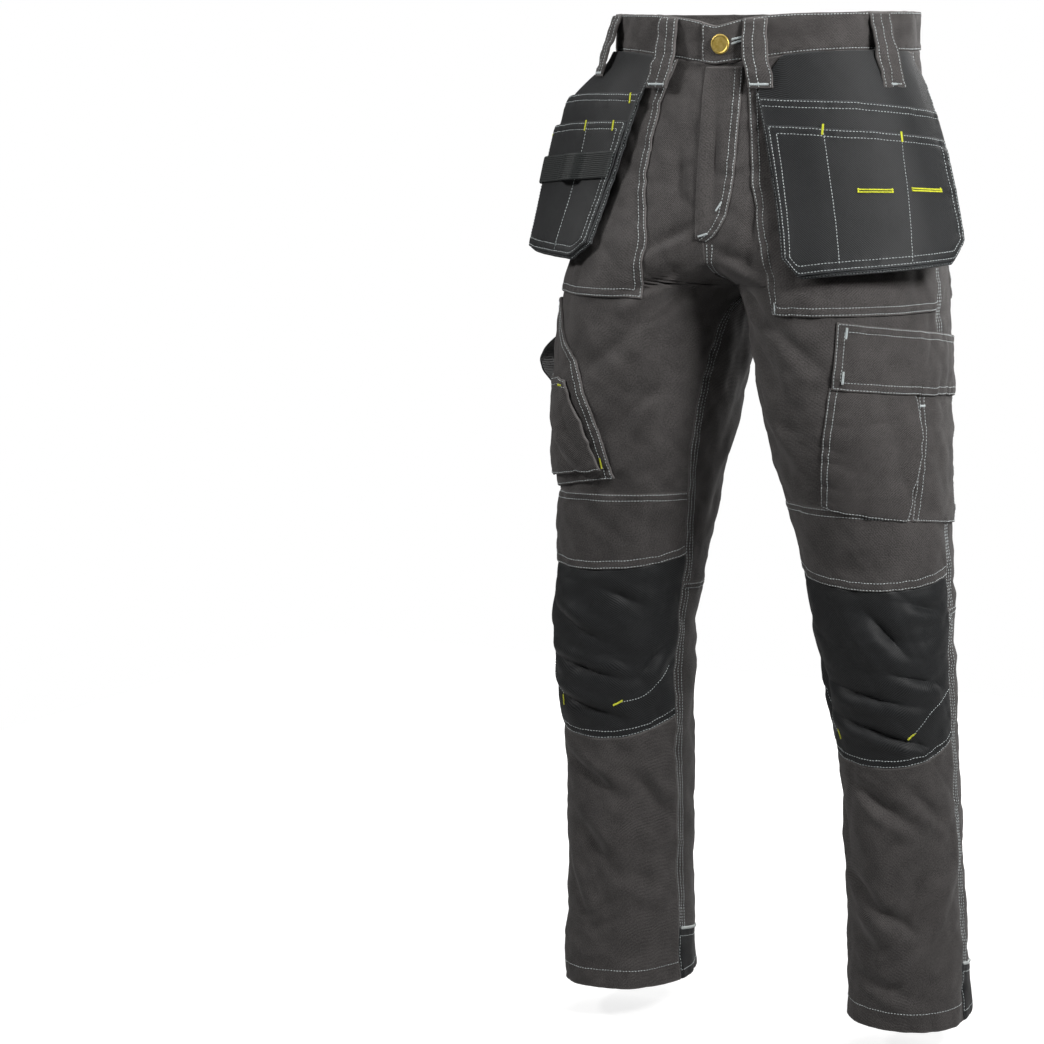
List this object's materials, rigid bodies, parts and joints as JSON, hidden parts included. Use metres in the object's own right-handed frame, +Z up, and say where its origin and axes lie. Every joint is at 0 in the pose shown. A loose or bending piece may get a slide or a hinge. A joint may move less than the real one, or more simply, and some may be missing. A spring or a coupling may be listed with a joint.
{
  "type": "work trousers",
  "caption": "Work trousers with hanging holster pockets, thigh pockets, shaped knees and hems, filled out as if worn and hollow from waist to hems.",
  "frame": {"origin": "centre of the waistband, at about its mid height, where the wearer's waist holds the trousers up", "axes": "+Z up along the standing wearer, +X to the wearer's left, -Y to the front"},
  "size_m": [0.4754, 0.3167, 1.043],
  "materials": {
    "charcoal_twill": "matt charcoal twill, brown-grey",
    "black_oxford": "coarse black plain weave, slightly shiny",
    "black_webbing": "black ribbed webbing",
    "pale_piping": "pale grey cord",
    "brass": "polished yellow metal button",
    "silver": "bright press stud cap"
  },
  "bodies": {
    "root": {"waistband_left": "charcoal_twill", "waistband_right": "charcoal_twill", "front_thigh_left": "charcoal_twill", "front_thigh_right": "charcoal_twill", "knee_band_left": "charcoal_twill", "knee_band_right": "charcoal_twill", "shin_left": "charcoal_twill", "shin_right": "charcoal_twill", "back_yoke_left": "charcoal_twill", "back_yoke_right": "charcoal_twill", "back_thigh_left": "charcoal_twill", "back_thigh_right": "charcoal_twill", "back_calf_left": "charcoal_twill", "back_calf_right": "charcoal_twill", "front_patch_left": "charcoal_twill", "front_patch_right": "charcoal_twill", "belt_loop_front_left": "charcoal_twill", "belt_loop_front_right": "charcoal_twill", "belt_loop_side_left": "charcoal_twill", "belt_loop_side_right": "charcoal_twill", "belt_loop_back_left": "charcoal_twill", "belt_loop_back_right": "charcoal_twill", "fly_placket": "charcoal_twill", "belt_loop_centre_back": "charcoal_twill", "cargo_pocket_front": "charcoal_twill", "cargo_pocket_rear": "charcoal_twill", "cargo_flap": "charcoal_twill", "ruler_pocket": "charcoal_twill", "ruler_pocket_lower": "charcoal_twill", "back_pocket_left": "charcoal_twill", "back_pocket_left_flap": "charcoal_twill", "back_pocket_right": "charcoal_twill", "hem_band_left": "black_oxford", "knee_pad_left": "black_oxford", "hem_piping_left": "pale_piping", "holster_left_backing": "black_oxford", "holster_left_upper": "black_oxford", "holster_left_lower": "black_oxford", "hem_band_right": "black_oxford", "knee_pad_right": "black_oxford", "hem_piping_right": "pale_piping", "holster_right_backing": "black_oxford", "holster_right_upper": "black_oxford", "holster_right_lower": "black_oxford", "holster_webbing_right": "black_webbing", "hammer_loop": "black_webbing", "tool_loop": "black_webbing", "snap_strap": "black_webbing", "waist_button": "brass", "snap_cap": "silver"}
  },
  "joints": []
}
